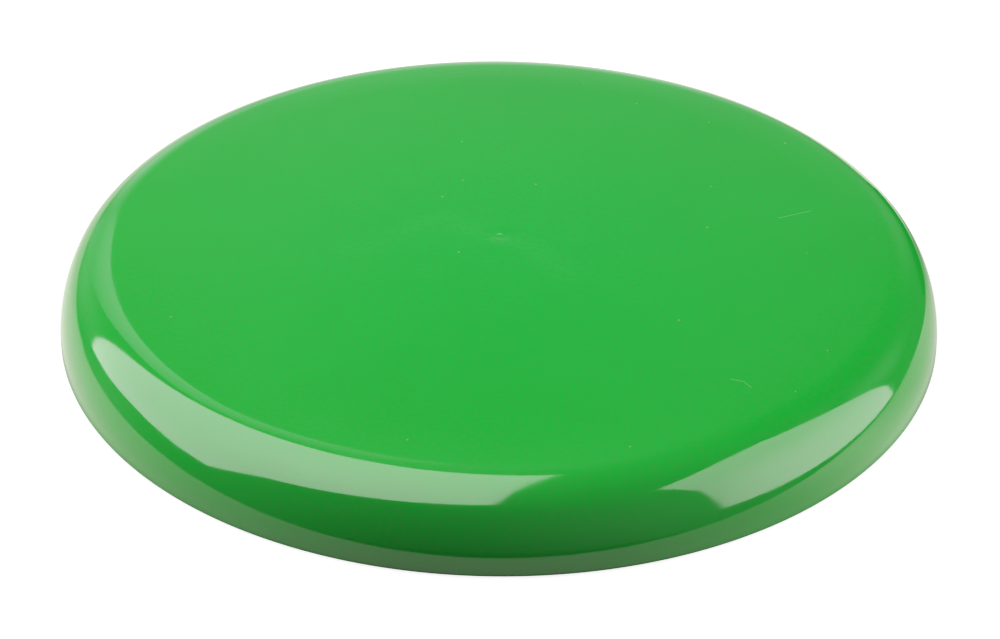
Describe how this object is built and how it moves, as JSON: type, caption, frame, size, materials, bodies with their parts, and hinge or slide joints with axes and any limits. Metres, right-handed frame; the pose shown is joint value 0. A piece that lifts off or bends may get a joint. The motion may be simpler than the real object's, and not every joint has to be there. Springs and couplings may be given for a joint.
{
  "type": "flying disc",
  "caption": "Round closed throwing disc with a flat flight plate, a smoothly rounded shoulder, a gently curved rim and an open underside with a thick rounded lip.",
  "frame": {"origin": "on the disc's axis, in the plane that the rim's lip stands on", "axes": "+Z along the disc's axis, out of the flight plate's top; X and Y lie in the plane of the rim, and the disc is the same all round"},
  "size_m": [0.23, 0.23, 0.0215],
  "materials": {
    "green_plastic": "glossy moulded plastic, solid green"
  },
  "bodies": {
    "root": {"disc": "green_plastic"}
  },
  "joints": []
}
